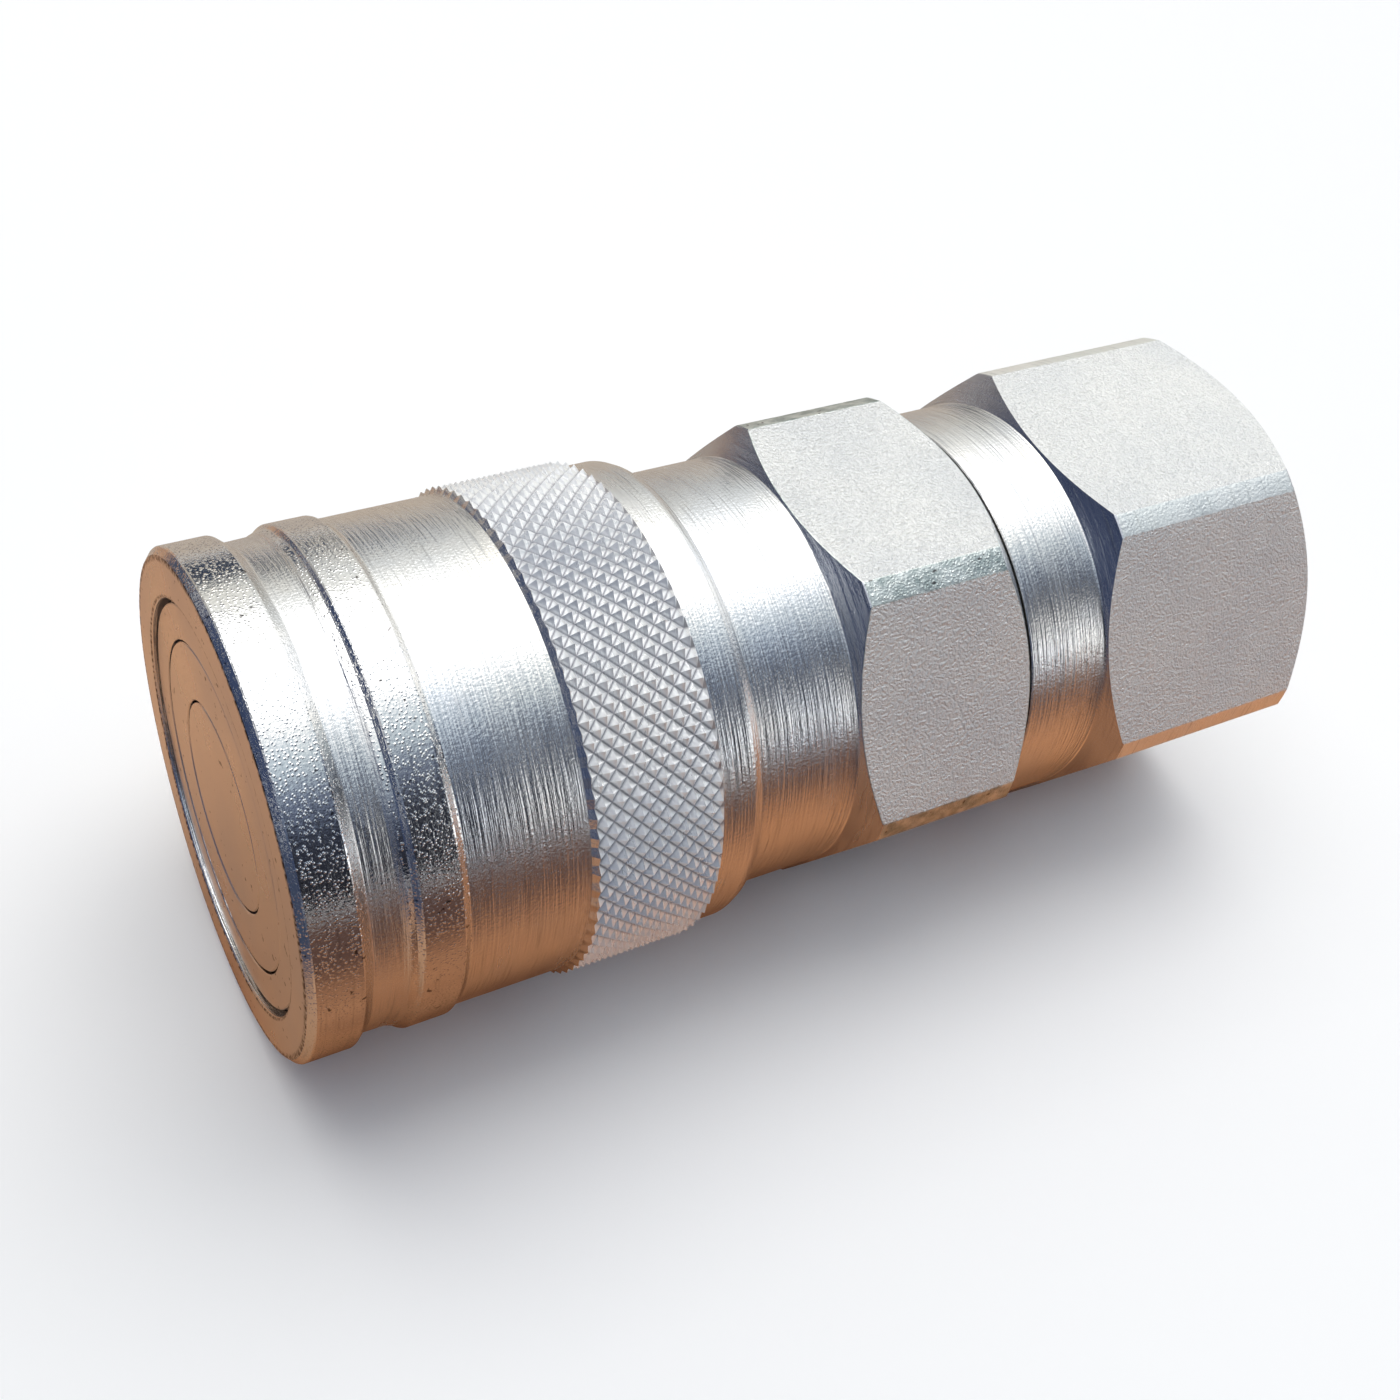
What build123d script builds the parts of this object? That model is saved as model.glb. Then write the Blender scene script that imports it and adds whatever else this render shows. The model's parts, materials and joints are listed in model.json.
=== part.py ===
from build123d import *
import os

# Flat-face quick disconnect coupler, socket half, lying along +X.
# The origin is the centre of the front face. +X runs to the hose port and +Z is up.
# All lengths are in millimetres.

# Overall
RIM_R = 19.0
TOTAL_L = 88.4

# Locking sleeve, outside
SLEEVE_L = 34.85
RIM_END = 3.97
GROOVE_START = 4.85
GROOVE_END = 6.85
GROOVE_R = 18.25
BAND_START = 8.1
BAND_END = 10.8
BAND_R = 18.9
MAIN_R = 18.48
MAIN_START = 11.7
KNURL_START = 20.9
KNURL_END = 30.7
KNURL_R = 18.95
FLANGE_R = 18.4
FLANGE_END = 33.6
TAIL_R = 17.2

# Locking sleeve, inside
MOUTH_R = 15.3
LIP_R = 15.03
LIP_START = 5.4
LIP_END = 6.4
RECESS_R = 16.1
LAND_START = 13.5
LAND_END = 16.0
SLEEVE_BORE_R = 16.88
SLEEVE_TRAVEL = 3.0

# Body
NOSE_FACE = 0.35
NOSE_R = 14.95
NOSE_BORE_R = 12.3
STOP_R = 15.15
STOP_START = 19.85
GUIDE_START = 29.2
GUIDE_R = 16.8
CAVITY_R = 13.25
CAVITY_START = 24.05
THREAD_R = 15.0
THREAD_START = 46.6
BODY_END = 59.15

# Hexagons
HEX_AF = 34.0
HEX_CORNER_R = 19.15
HEX1_CONE = 43.35
HEX1_START = 44.9
HEX1_END = 57.2
HEX2_CONE = 66.6
HEX2_START = 68.3
HEX2_END = 86.3
HEX_EDGE_R = 16.9

# Adapter
NECK_START = 59.5
NECK_R = 16.78
SPIGOT_START = 47.0
SPIGOT_R = 14.95
SPIDER_SEAT = 57.0
PORT_MINOR_R = 9.32
PORT_MOUTH_R = 10.6
PORT_START = 72.4
FLOW_R = 8.4
FLOW_START = 65.3
NUT_ROOM_R = 10.2
NUT_ROOM_END = 63.5

# Locking balls
BALL_R = 1.75
BALL_PITCH_R = 14.0
BALL_X = 11.5
BALL_COUNT = 12
BALL_HOLE_R = 1.8

# Retaining ring on the nose
RING_X0 = 1.05
RING_X1 = 2.2
RING_IN_R = 14.1
RING_OUT_R = 15.22
RING_GAP = 3.0

# Valve sleeve
VALVE_FACE = 0.4
VALVE_R = 12.2
VALVE_BORE_R = 7.85
VALVE_INNER_R = 10.3
VALVE_FLANGE_R = 12.9
VALVE_END = 26.0
VALVE_SEAT_END = 6.9

# Valve stem
STEM_FACE = 0.43
STEM_HEAD_R = 7.78
STEM_HEAD_END = 4.3
STEM_CONE_END = 8.2
STEM_R = 3.5
STEM_THREAD_R = 2.9
STEM_END = 63.0

# Spider, seat and nut
SPIDER_START = 54.0
SPIDER_R = 13.2
SPIDER_HOLES = 6
SPIDER_HOLE_R = 2.2
SPIDER_HOLE_PITCH_R = 7.6
SEAT_START = 53.0
WASHER_END = 57.7
WASHER_R = 5.1
WASHER_SLIT = 0.7
NUT_END = 61.7
NUT_AF = 10.0

# Springs
SLEEVE_SPRING_START = 16.8
SLEEVE_WIRE = 1.4
SLEEVE_SPRING_R = 15.95
SLEEVE_TURNS = 4.6
VALVE_WIRE = 1.7
VALVE_SPRING_R = 11.4
VALVE_TURNS = 5.75

SPRING_WASHER_IN_R = 15.01
SPRING_WASHER_OUT_R = 16.5
SEAT_OUT_R = 13.1

# Retaining ring in the adapter
REAR_RING_X0 = 51.65
REAR_RING_X1 = 52.85
REAR_RING_IN_R = 12.5
REAR_RING_OUT_R = 13.85

# Nose seal, its backup ring and the valve guide ring
SEAL_INNER_R = 12.25
NOSE_GROOVE_START = 14.4
NOSE_GROOVE_END = 17.2
NOSE_GROOVE_R = 13.78
NOSE_SEAL_X = 15.2
NOSE_SEAL_R = 13.0
NOSE_SEAL_SECTION = 0.75
NOSE_BACKUP_START = 16.0
NOSE_BACKUP_R = 13.75
GUIDE_RING_START = 19.45
GUIDE_RING_END = 22.4
GUIDE_RING_R = 13.27

# Stem head seal and its backup ring
STEM_GROOVE_START = 1.9
STEM_GROOVE_END = 3.9
STEM_GROOVE_R = 6.68
STEM_SEAL_X = 2.5
STEM_SEAL_R = 7.25
STEM_SEAL_SECTION = 0.55
STEM_BACKUP_START = 3.1
STEM_BACKUP_IN_R = 6.7
STEM_BACKUP_OUT_R = 7.8

# Adapter seal and its backup ring
ADAPTER_GROOVE_START = 57.4
ADAPTER_GROOVE_R = 13.65
ADAPTER_SEAL_X = 58.75
ADAPTER_SEAL_R = 14.3
ADAPTER_SEAL_SECTION = 0.6
ADAPTER_BACKUP_START = 57.45
ADAPTER_BACKUP_END = 58.1
ADAPTER_BACKUP_IN_R = 13.7
ADAPTER_BACKUP_OUT_R = 14.9

# Small gap beside each ring in its groove
SIDE_GAP = 0.05


def turned(points):
    """A solid of revolution about X from (x, radius) corners."""
    outline = Polyline(*points, close=True)
    return revolve(make_face(outline), Axis.X, 360)


def tube(x0, x1, inner, outer):
    """A plain ring with square edges."""
    return turned([(x0, inner), (x1, inner), (x1, outer), (x0, outer)])


def round_ring(x, radius, section):
    """A ring of round section."""
    face = Pos(x, radius) * Circle(section)
    return revolve(face, Axis.X, 360)


def around(shape, count, start=0.0):
    """Copies of a shape spaced evenly round the X axis."""
    step = 360 / count
    return [Rot(start + i * step, 0, 0) * shape for i in range(count)]


def flats(shape, x0, x1, across):
    """Six wrench flats, two of them level, milled on a turned shape."""
    depth = 5.0
    middle = Pos((x0 + x1) / 2, 0, across / 2 + depth / 2)
    cutter = middle * Box(x1 - x0, 30, depth)
    for tool in around(cutter, 6):
        shape = shape - tool
    return shape


def coil(x0, x1, radius, wire, turns):
    """A compression spring with ground ends."""
    length = x1 - x0
    pitch = (length - wire * 0.6) / turns
    height = pitch * turns
    start = x0 + wire * 0.3
    path = Helix(pitch, height, radius, center=(start, 0, 0), direction=(1, 0, 0))
    profile = Plane(origin=path @ 0, z_dir=path % 0) * Circle(wire / 2)
    spring = sweep(profile, path=path, is_frenet=True)
    span = Pos((x0 + x1) / 2, 0, 0) * Box(length, 60, 60)
    return spring & span


def coupler_body():
    """Ball nose, sleeve guide and front hexagon in one turned piece."""
    guide_start = GUIDE_RING_START - SIDE_GAP
    guide_end = GUIDE_RING_END + SIDE_GAP
    guide_r = GUIDE_RING_R + 0.03
    shape = turned([
        (NOSE_FACE, NOSE_BORE_R + 0.15), (NOSE_FACE, NOSE_R - 0.15),
        (NOSE_FACE + 0.15, NOSE_R), (RING_X0 - 0.05, NOSE_R),
        (RING_X0 - 0.05, RING_IN_R - 0.05), (RING_X1 + 0.05, RING_IN_R - 0.05),
        (RING_X1 + 0.05, NOSE_R), (STOP_START, NOSE_R), (STOP_START, STOP_R),
        (GUIDE_START, STOP_R), (GUIDE_START, GUIDE_R - 0.3),
        (GUIDE_START + 0.3, GUIDE_R), (HEX1_CONE, GUIDE_R),
        (HEX1_START, HEX_CORNER_R), (HEX1_END, HEX_CORNER_R),
        (BODY_END - 0.1, HEX_EDGE_R), (BODY_END, HEX_EDGE_R),
        (BODY_END, THREAD_R + 0.35), (BODY_END - 0.35, THREAD_R),
        (THREAD_START, THREAD_R), (THREAD_START, CAVITY_R),
        (CAVITY_START, CAVITY_R), (CAVITY_START, NOSE_BORE_R),
        (guide_end, NOSE_BORE_R), (guide_end, guide_r), (guide_start, guide_r),
        (guide_start, NOSE_BORE_R), (NOSE_GROOVE_END, NOSE_BORE_R),
        (NOSE_GROOVE_END, NOSE_GROOVE_R), (NOSE_GROOVE_START, NOSE_GROOVE_R),
        (NOSE_GROOVE_START, NOSE_BORE_R), (NOSE_FACE + 0.15, NOSE_BORE_R),
    ])
    shape = flats(shape, HEX1_CONE - 1, BODY_END + 1, HEX_AF)
    hole = Pos(BALL_X, 0, 13.4) * Cylinder(BALL_HOLE_R, 3.6)
    for tool in around(hole, BALL_COUNT):
        shape = shape - tool
    return shape


def locking_sleeve():
    """Outer sleeve: rim, grip band, ball recess, locking land and spring chamber."""
    ramp = RECESS_R - LIP_R
    return turned([
        (0, MOUTH_R + 0.2), (0, RIM_R - 0.45), (0.45, RIM_R), (RIM_END, RIM_R),
        (GROOVE_START, GROOVE_R), (GROOVE_END, GROOVE_R), (BAND_START, BAND_R),
        (BAND_END, BAND_R), (MAIN_START, MAIN_R), (KNURL_START - 0.8, MAIN_R),
        (KNURL_START, KNURL_R), (KNURL_END, KNURL_R),
        (KNURL_END + 0.6, FLANGE_R), (FLANGE_END, FLANGE_R),
        (FLANGE_END + 0.75, FLANGE_R - 0.35), (SLEEVE_L, TAIL_R),
        (SLEEVE_L, SLEEVE_BORE_R), (LAND_END, SLEEVE_BORE_R), (LAND_END, LIP_R),
        (LAND_START, LIP_R), (LAND_START - ramp, RECESS_R), (LIP_END, RECESS_R),
        (LIP_END, LIP_R), (LIP_START, LIP_R), (LIP_START, MOUTH_R),
        (0.2, MOUTH_R),
    ])


def rear_adapter():
    """Screwed-in rear end: spigot, neck, rear hexagon and threaded port."""
    groove_start = REAR_RING_X0 - SIDE_GAP
    groove_end = REAR_RING_X1 + SIDE_GAP
    groove_r = REAR_RING_OUT_R + SIDE_GAP
    shape = turned([
        (SPIGOT_START, CAVITY_R), (SPIGOT_START, SPIGOT_R - 0.5),
        (SPIGOT_START + 0.5, SPIGOT_R), (ADAPTER_GROOVE_START, SPIGOT_R),
        (ADAPTER_GROOVE_START, ADAPTER_GROOVE_R), (NECK_START - 0.1, ADAPTER_GROOVE_R),
        (NECK_START - 0.1, SPIGOT_R),
        (NECK_START, SPIGOT_R), (NECK_START, NECK_R - 0.1),
        (NECK_START + 0.1, NECK_R), (HEX2_CONE, NECK_R),
        (HEX2_START, HEX_CORNER_R), (HEX2_END, HEX_CORNER_R),
        (TOTAL_L - 0.1, HEX_EDGE_R), (TOTAL_L, HEX_EDGE_R - 0.1),
        (TOTAL_L, PORT_MOUTH_R), (TOTAL_L - 1.2, PORT_MINOR_R),
        (PORT_START, PORT_MINOR_R), (PORT_START, FLOW_R), (FLOW_START, FLOW_R),
        (NUT_ROOM_END, NUT_ROOM_R), (SPIDER_SEAT, NUT_ROOM_R), (SPIDER_SEAT, CAVITY_R),
        (groove_end, CAVITY_R), (groove_end, groove_r), (groove_start, groove_r),
        (groove_start, CAVITY_R),
    ])
    return flats(shape, HEX2_CONE - 0.5, TOTAL_L + 1, HEX_AF)


def valve_sleeve():
    """Sliding valve sleeve with its stop flange."""
    return turned([
        (VALVE_FACE, VALVE_BORE_R + 0.1), (VALVE_FACE, VALVE_R - 0.15),
        (VALVE_FACE + 0.15, VALVE_R), (CAVITY_START + 0.05, VALVE_R),
        (CAVITY_START + 0.05, VALVE_FLANGE_R), (VALVE_END, VALVE_FLANGE_R),
        (VALVE_END, VALVE_INNER_R), (VALVE_SEAT_END, VALVE_INNER_R),
        (STEM_HEAD_END + 0.1, VALVE_BORE_R), (VALVE_FACE + 0.1, VALVE_BORE_R),
    ])


def valve_stem():
    """Fixed stem: flat head with a seal groove, shaft and threaded tail."""
    return turned([
        (STEM_FACE, 0), (STEM_FACE, STEM_HEAD_R - 0.12),
        (STEM_FACE + 0.12, STEM_HEAD_R), (STEM_GROOVE_START, STEM_HEAD_R),
        (STEM_GROOVE_START, STEM_GROOVE_R), (STEM_GROOVE_END, STEM_GROOVE_R),
        (STEM_GROOVE_END, STEM_HEAD_R), (STEM_HEAD_END, STEM_HEAD_R),
        (STEM_CONE_END, STEM_R), (SPIDER_START, STEM_R), (SPIDER_START, STEM_THREAD_R),
        (STEM_END - 0.5, STEM_THREAD_R), (STEM_END, STEM_THREAD_R - 0.5),
        (STEM_END, 0),
    ])


def stem_spider():
    """Perforated disc that carries the stem and lets the oil through."""
    shape = tube(SPIDER_START, SPIDER_SEAT, STEM_THREAD_R + 0.05, SPIDER_R)
    middle = (SPIDER_START + SPIDER_SEAT) / 2
    hole = Pos(middle, 0, SPIDER_HOLE_PITCH_R) * Rot(0, 90, 0) * Cylinder(SPIDER_HOLE_R, 4)
    for tool in around(hole, SPIDER_HOLES):
        shape = shape - tool
    return shape


def stem_nut():
    """Hexagon nut that holds the stem in the spider."""
    face_r = NUT_AF / 2 - 0.1
    corner_r = NUT_AF / 2 + 0.6
    shape = turned([
        (WASHER_END, STEM_THREAD_R + 0.05), (WASHER_END, face_r),
        (WASHER_END + 0.5, corner_r), (NUT_END - 0.5, corner_r), (NUT_END, face_r),
        (NUT_END, STEM_THREAD_R + 0.05),
    ])
    return flats(shape, WASHER_END - 1, NUT_END + 1, NUT_AF)


def stem_washer():
    """Split spring washer under the nut."""
    shape = tube(SPIDER_SEAT, WASHER_END, STEM_THREAD_R + 0.1, WASHER_R)
    return shape - Pos((SPIDER_SEAT + WASHER_END) / 2, 0, 4) * Box(2, WASHER_SLIT, 4)


def locking_balls():
    """A ring of steel balls."""
    ball = Pos(BALL_X, 0, BALL_PITCH_R) * Sphere(BALL_R)
    return Compound(children=around(ball, BALL_COUNT))


def sleeve_retaining_ring():
    """Open snap ring that keeps the sleeve on the nose."""
    shape = tube(RING_X0, RING_X1, RING_IN_R, RING_OUT_R)
    return shape - Pos(RING_X0, 0, -14.7) * Box(4, RING_GAP, 3)


def spider_retaining_ring():
    """Open snap ring in the adapter, in front of the spring seat."""
    shape = tube(REAR_RING_X0, REAR_RING_X1, REAR_RING_IN_R, REAR_RING_OUT_R)
    return shape - Pos(52.2, 0, 13.2) * Box(4, RING_GAP, 3)


def sleeve_spring():
    """Spring that pushes the locking sleeve forwards."""
    return coil(SLEEVE_SPRING_START + 0.05, GUIDE_START - 0.02, SLEEVE_SPRING_R,
                SLEEVE_WIRE, SLEEVE_TURNS)


def valve_spring():
    """Spring that closes the valve sleeve."""
    return coil(VALVE_END + 0.05, SEAT_START - 0.02, VALVE_SPRING_R,
                VALVE_WIRE, VALVE_TURNS)


def spring_washer():
    """Plain washer between the locking land and the sleeve spring."""
    return tube(LAND_END, SLEEVE_SPRING_START, SPRING_WASHER_IN_R, SPRING_WASHER_OUT_R)


def valve_spring_seat():
    """Ring on the spider that the valve spring rests on."""
    return tube(SEAT_START, SPIDER_START, VALVE_INNER_R, SEAT_OUT_R)


def nose_seal():
    """Ring that seals the valve sleeve in the nose."""
    return round_ring(NOSE_SEAL_X, NOSE_SEAL_R, NOSE_SEAL_SECTION)


def nose_backup_ring():
    """Plastic ring behind the nose seal."""
    return tube(NOSE_BACKUP_START, NOSE_GROOVE_END - SIDE_GAP, SEAL_INNER_R, NOSE_BACKUP_R)


def valve_guide_ring():
    """Plastic bearing strip round the valve sleeve."""
    return tube(GUIDE_RING_START, GUIDE_RING_END, SEAL_INNER_R, GUIDE_RING_R)


def stem_head_seal():
    """Ring that seals the stem head in the valve sleeve."""
    return round_ring(STEM_SEAL_X, STEM_SEAL_R, STEM_SEAL_SECTION)


def stem_backup_ring():
    """Plastic ring behind the stem head seal."""
    return tube(STEM_BACKUP_START, STEM_GROOVE_END - SIDE_GAP, STEM_BACKUP_IN_R,
                STEM_BACKUP_OUT_R)


def adapter_seal():
    """Ring that seals the adapter in the body."""
    return round_ring(ADAPTER_SEAL_X, ADAPTER_SEAL_R, ADAPTER_SEAL_SECTION)


def adapter_backup_ring():
    """Plastic ring in front of the adapter seal."""
    return tube(ADAPTER_BACKUP_START, ADAPTER_BACKUP_END, ADAPTER_BACKUP_IN_R,
                ADAPTER_BACKUP_OUT_R)


PIECES = (
    coupler_body, locking_sleeve, rear_adapter, valve_sleeve, valve_stem,
    stem_spider, stem_nut, stem_washer, locking_balls, sleeve_retaining_ring,
    spider_retaining_ring, sleeve_spring, valve_spring, spring_washer,
    valve_spring_seat, nose_seal, nose_backup_ring, valve_guide_ring,
    stem_head_seal, stem_backup_ring, adapter_seal, adapter_backup_ring,
)

os.makedirs("parts", exist_ok=True)
for piece in PIECES:
    export_step(piece(), "parts/" + piece.__name__ + ".step")
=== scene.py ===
# %% [markdown]
# # A hydraulic quick coupler, piece by piece
# This lesson dresses a finished CAD model of a quick coupler. The CAD gives every size and place.
# Here the outside pieces are modelled again with fine edges, a real knurl and a real thread, and
# every piece gets a metal, rubber or plastic finish.

# %% Load the frame
import json
import math
import bpy
from mathutils import Matrix, Vector

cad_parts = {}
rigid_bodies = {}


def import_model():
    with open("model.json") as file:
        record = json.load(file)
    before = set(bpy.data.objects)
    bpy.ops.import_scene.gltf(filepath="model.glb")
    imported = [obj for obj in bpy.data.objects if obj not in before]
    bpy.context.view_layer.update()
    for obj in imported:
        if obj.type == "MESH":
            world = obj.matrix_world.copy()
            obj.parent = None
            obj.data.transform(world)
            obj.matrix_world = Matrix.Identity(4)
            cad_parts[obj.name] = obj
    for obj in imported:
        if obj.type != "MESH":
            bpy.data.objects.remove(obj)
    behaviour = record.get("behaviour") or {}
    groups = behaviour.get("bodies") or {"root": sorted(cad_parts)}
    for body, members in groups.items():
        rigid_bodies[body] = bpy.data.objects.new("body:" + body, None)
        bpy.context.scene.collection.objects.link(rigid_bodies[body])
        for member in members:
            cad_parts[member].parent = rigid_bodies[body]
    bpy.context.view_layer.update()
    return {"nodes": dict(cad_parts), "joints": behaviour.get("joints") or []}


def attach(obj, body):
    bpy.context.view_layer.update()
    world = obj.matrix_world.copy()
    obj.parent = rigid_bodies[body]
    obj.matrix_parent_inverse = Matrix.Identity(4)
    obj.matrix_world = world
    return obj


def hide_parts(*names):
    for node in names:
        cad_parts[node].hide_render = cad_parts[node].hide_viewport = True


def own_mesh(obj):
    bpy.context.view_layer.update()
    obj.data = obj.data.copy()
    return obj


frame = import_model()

MM = 0.001
nodes = frame["nodes"]
print("pieces in the frame:", len(nodes))

# %% [markdown]
# ## Turning on a lathe
# Most of this coupler was cut on a lathe, so most pieces are made the same way here. A circle is
# set at the first point of the outline, then extruded along X and scaled, ring by ring. A spin of
# the outline would do as well, but rings are easier to select again later, which the knurl needs.
# Every corner of the outline is first cut back a little, because no turned edge is perfectly sharp.

# %% Lathe tools
LONGEST_CUT = 0.35


def softened(outline, cut):
    """Each corner of a closed outline becomes a small chamfer, cut millimetres along each edge
    or LONGEST_CUT of a short edge."""
    soft = []
    count = len(outline)
    for i, point in enumerate(outline):
        here = Vector(point)
        for other in (outline[i - 1], outline[(i + 1) % count]):
            edge = Vector(other) - here
            step = min(cut, edge.length * LONGEST_CUT)
            soft.append(tuple(here + edge.normalized() * step))
    return soft


def first_ring(name, x, radius, sides):
    bpy.ops.object.select_all(action="DESELECT")
    bpy.ops.mesh.primitive_circle_add(
        vertices=sides, radius=radius * MM, location=(x * MM, 0, 0),
        rotation=(0, math.pi / 2, 0))
    ring = bpy.context.object
    ring.name = name
    bpy.ops.object.transform_apply(location=True, rotation=True, scale=True)
    bpy.ops.object.mode_set(mode="EDIT")
    bpy.ops.mesh.select_mode(type="VERT")
    bpy.ops.mesh.select_all(action="SELECT")
    return ring


def turn(name, outline, sides=180, poles=False):
    """A turned solid from (x, radius) points in millimetres. With poles, both ends close on
    the axis."""
    (x, radius), rest = outline[0], outline[1:]
    piece = first_ring(name, x, radius, sides)
    if poles:
        bpy.ops.mesh.edge_face_add()
        bpy.ops.mesh.poke()
        bpy.ops.mesh.select_all(action="DESELECT")
        bpy.ops.mesh.select_non_manifold()
    for next_x, next_radius in rest:
        bpy.ops.mesh.extrude_region_move(
            TRANSFORM_OT_translate={"value": ((next_x - x) * MM, 0, 0)})
        size = next_radius / radius
        bpy.ops.transform.resize(value=(1, size, size),
                                 center_override=(next_x * MM, 0, 0))
        x, radius = next_x, next_radius
    if poles:
        bpy.ops.mesh.edge_face_add()
        bpy.ops.mesh.poke()
    else:
        bpy.ops.mesh.select_all(action="DESELECT")
        bpy.ops.mesh.select_non_manifold()
        bpy.ops.mesh.bridge_edge_loops()
    bpy.ops.mesh.select_all(action="SELECT")
    bpy.ops.mesh.normals_make_consistent(inside=False)
    bpy.ops.object.mode_set(mode="OBJECT")
    return piece


def cut(piece, tool, how):
    """Boolean of a piece with a tool, which is then thrown away."""
    boolean = piece.modifiers.new("cut", "BOOLEAN")
    boolean.operation = how
    boolean.solver = "EXACT"
    boolean.object = tool
    bpy.context.view_layer.objects.active = piece
    bpy.ops.object.modifier_apply(modifier=boolean.name)
    bpy.data.objects.remove(tool)


def smooth(piece, degrees=9):
    bpy.ops.object.select_all(action="DESELECT")
    piece.select_set(True)
    bpy.context.view_layer.objects.active = piece
    bpy.ops.object.shade_smooth_by_angle(angle=math.radians(degrees))


def report(piece):
    low = [round(min(v.co[i] for v in piece.data.vertices) / MM, 2) for i in range(3)]
    high = [round(max(v.co[i] for v in piece.data.vertices) / MM, 2) for i in range(3)]
    print(piece.name, "faces", len(piece.data.polygons), "from", low, "to", high, "mm")


# %% [markdown]
# ## The locking sleeve
# The sleeve is one turned ring: a rim, a groove, a low band, a long plain part, the knurled grip
# and a bevelled tail. Its outline runs along the outside to the tail and back through the bore,
# where a recess for the balls, a locking land and a spring chamber are cut.

# %% Sleeve outline
OUTER_EDGE = 0.07
BORE_EDGE = 0.1
SLEEVE_SIDES = 158
KNURL_FROM = 21.0
KNURL_TO = 30.6
KNURL_ROWS = 14
KNURL_ROOT = 18.45
KNURL_TIP = 18.98
CREST_AT = 20.94
CREST_RADIUS = 18.72
sleeve_front = softened([
    (0.2, 15.32), (0, 15.48), (0, 18.4), (0.5, 18.98), (3.9, 18.98), (4.75, 18.22),
    (6.9, 18.27), (7.35, 18.46), (7.8, 18.56), (8.1, 18.9), (11.05, 18.89), (11.55, 18.47),
    (20.45, 18.47), (20.6, 18.44)], OUTER_EDGE)
sleeve_front = sleeve_front[1:-1]
knurl_rings = [(CREST_AT, CREST_RADIUS)]
knurl_rings += [(KNURL_FROM + i * (KNURL_TO - KNURL_FROM) / KNURL_ROWS, KNURL_ROOT)
                for i in range(KNURL_ROWS + 1)]
sleeve_back = softened([
    (30.85, KNURL_ROOT - 0.03), (31.25, 18.4), (33.6, 18.4), (34.35, 18.05), (34.85, 17.25),
    (34.85, 16.9), (16.0, 16.9), (16.0, 15.05), (13.5, 15.05), (12.43, 16.1), (6.4, 16.1),
    (6.4, 15.05), (5.4, 15.05), (5.4, 15.32)], BORE_EDGE)
sleeve_back = sleeve_back[1:-1]
sleeve = turn("grip_sleeve", sleeve_front + knurl_rings + sleeve_back, SLEEVE_SIDES)
report(sleeve)

# %% [markdown]
# ## The knurl
# A diamond knurl is a field of small pyramids. The band between two rings already has a grid of
# vertices, so every second vertex, as on a chessboard, is scaled outwards to become a tip. The
# quads are then split along their shorter diagonal, which is the valley between two tips. A
# displacement texture would need far more faces for the same sharp pyramids. The narrow crest ring
# in front of the field is raised in the same rhythm, so the knurl starts in small teeth.

# %% Knurl tools
ON_RING = 0.02
ON_PLACE = 0.01
NUDGE = 1e-5
OUTSIDE_FROM = 18.0


def in_knurl(x, slack=0.02):
    return (KNURL_FROM - slack) * MM < x < (KNURL_TO + slack) * MM


def select_nothing(piece):
    for part in (piece.data.vertices, piece.data.edges, piece.data.polygons):
        for item in part:
            item.select = False


def radius_at(point):
    return math.hypot(point.y, point.z)


def chessboard(vertex, row):
    """True on every second vertex; NUDGE keeps a vertex off the border between two places."""
    angle = math.atan2(vertex.co.z, vertex.co.y) + NUDGE
    place = math.floor(angle / (2 * math.pi) * SLEEVE_SIDES + 0.5)
    return (row + place) % 2 == 0


def raise_tips(piece, size):
    bpy.context.view_layer.objects.active = piece
    bpy.ops.object.mode_set(mode="EDIT")
    bpy.ops.transform.resize(value=(1, size, size), center_override=(0, 0, 0))
    bpy.ops.object.mode_set(mode="OBJECT")


# %% Raise the pyramids
row_height = (KNURL_TO - KNURL_FROM) / KNURL_ROWS * MM
tips = 0
select_nothing(sleeve)
for vertex in sleeve.data.vertices:
    on_root = abs(radius_at(vertex.co) - KNURL_ROOT * MM) < ON_RING * MM
    if in_knurl(vertex.co.x) and on_root:
        vertex.select = chessboard(vertex, round((vertex.co.x - KNURL_FROM * MM) / row_height))
        tips += vertex.select
raise_tips(sleeve, KNURL_TIP / KNURL_ROOT)
select_nothing(sleeve)
for vertex in sleeve.data.vertices:
    on_crest = abs(radius_at(vertex.co) - CREST_RADIUS * MM) < ON_RING * MM
    if on_crest and abs(vertex.co.x - CREST_AT * MM) < ON_PLACE * MM:
        vertex.select = chessboard(vertex, 0)
raise_tips(sleeve, KNURL_TIP / CREST_RADIUS)
for face in sleeve.data.polygons:
    outside = radius_at(face.center) > OUTSIDE_FROM * MM
    face.select = in_knurl(face.center.x, 0) and outside
bpy.ops.object.mode_set(mode="EDIT")
bpy.ops.mesh.select_mode(type="FACE")
bpy.ops.mesh.quads_convert_to_tris(quad_method="SHORTEST_DIAGONAL")
bpy.ops.object.mode_set(mode="OBJECT")
smooth(sleeve, degrees=8)
print("pyramid tips", tips)
report(sleeve)

# %% [markdown]
# ## Hexagons
# A real hexagon like this starts as a round bar with turned cone ends, and six flats are milled on
# it. The same is done here: the turned piece is cut with a long six-sided bar by a boolean, so the
# curved edge where each cone meets a flat comes out by itself. A bevel of a tenth of a millimetre
# on those edges then catches the light.

# %% Hexagon tools
ACROSS_FLATS = 34.0
FLAT_AT = ACROSS_FLATS / 2
TWELFTH = math.radians(30)
BAR_LENGTH = 200
BAR_MIDDLE = 50
FLAT_BEVEL = 0.13


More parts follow.
